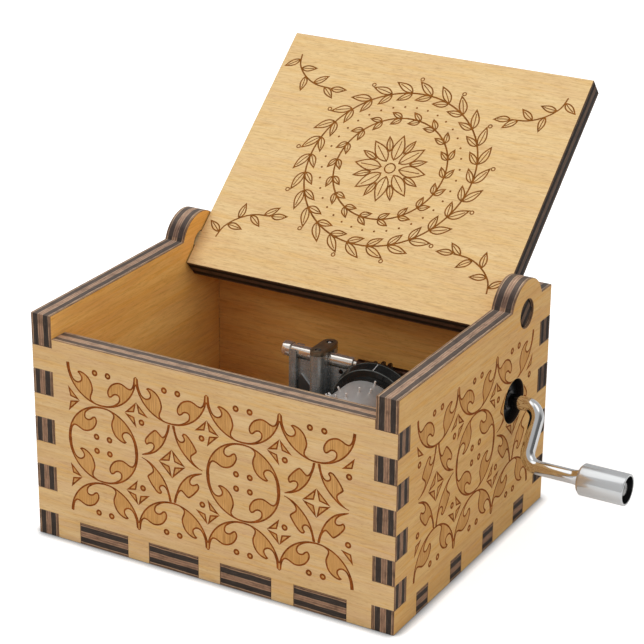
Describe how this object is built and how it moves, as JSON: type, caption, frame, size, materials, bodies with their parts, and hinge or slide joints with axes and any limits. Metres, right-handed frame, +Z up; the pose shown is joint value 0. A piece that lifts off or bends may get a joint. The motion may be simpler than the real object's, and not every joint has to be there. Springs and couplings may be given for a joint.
{
  "type": "hand-cranked drum music box",
  "caption": "Small finger-jointed plywood music box with a hinged lid and a hand crank that turns a pinned drum against a comb.",
  "frame": {"origin": "centre of the case's underside", "axes": "+X toward the crank, +Y toward the hinge at the back, +Z up"},
  "size_m": [0.0859, 0.0766, 0.0654],
  "materials": {
    "plywood": "laser-cut veneered plywood",
    "lid_plywood": "laser-cut veneered plywood, lighter",
    "casting": "die-cast, grey, satin",
    "strap_steel": "browned steel, satin",
    "bright_steel": "bright",
    "satin_steel": "satin",
    "drum_steel": "satin with bright pins",
    "black_plastic": "moulded, soft gloss",
    "dark_steel": "blackened",
    "chrome": "polished",
    "brass": "dull brass"
  },
  "bodies": {
    "case": {"base_panel": "plywood", "front_panel": "plywood", "rear_panel": "plywood", "left_side_panel": "plywood", "right_side_panel": "plywood", "movement_bed": "casting", "crank_frame": "casting", "shaft_strap": "strap_steel", "strap_screw_1": "bright_steel", "strap_screw_2": "bright_steel", "tone_comb": "bright_steel", "comb_screw_1": "satin_steel", "comb_screw_2": "satin_steel", "case_screw_1": "satin_steel", "case_screw_2": "satin_steel", "case_screw_3": "satin_steel", "frame_screw_1": "satin_steel", "frame_screw_2": "satin_steel"},
    "lid": {"lid_panel": "lid_plywood"},
    "drum": {"pin_drum": "drum_steel", "drum_front_cap": "satin_steel", "drum_gear": "black_plastic", "drum_arbor": "bright_steel", "arbor_clip": "dark_steel"},
    "crank": {"crank_shaft": "chrome", "shaft_end_cap": "chrome", "crank_coupling": "dark_steel", "drive_worm": "brass", "crank_rod": "chrome", "knob_rivet": "bright_steel"},
    "knob": {"crank_knob": "satin_steel"}
  },
  "joints": [
    {"name": "lid_hinge", "type": "hinge", "parent": "case", "child": "lid", "pos_m": [0, 0.01685, 0.03615], "axis": [1, 0, 0], "range_deg": [0, 139.4]},
    {"name": "crank_spin", "type": "hinge", "parent": "case", "child": "crank", "pos_m": [0, 0.0133, 0.0225], "axis": [1, 0, 0], "continuous": true},
    {"name": "drum_spin", "type": "hinge", "parent": "case", "child": "drum", "pos_m": [0.0089, 0, 0.01655], "axis": [0, 1, 0], "continuous": true},
    {"name": "knob_spin", "type": "hinge", "parent": "crank", "child": "knob", "pos_m": [0.05, 0.00825, 0.01469], "axis": [1, 0, 0], "continuous": true}
  ],
  "couplings": [
    {"joint": "drum_spin", "follows": "crank_spin", "ratio": -0.033333}
  ]
}
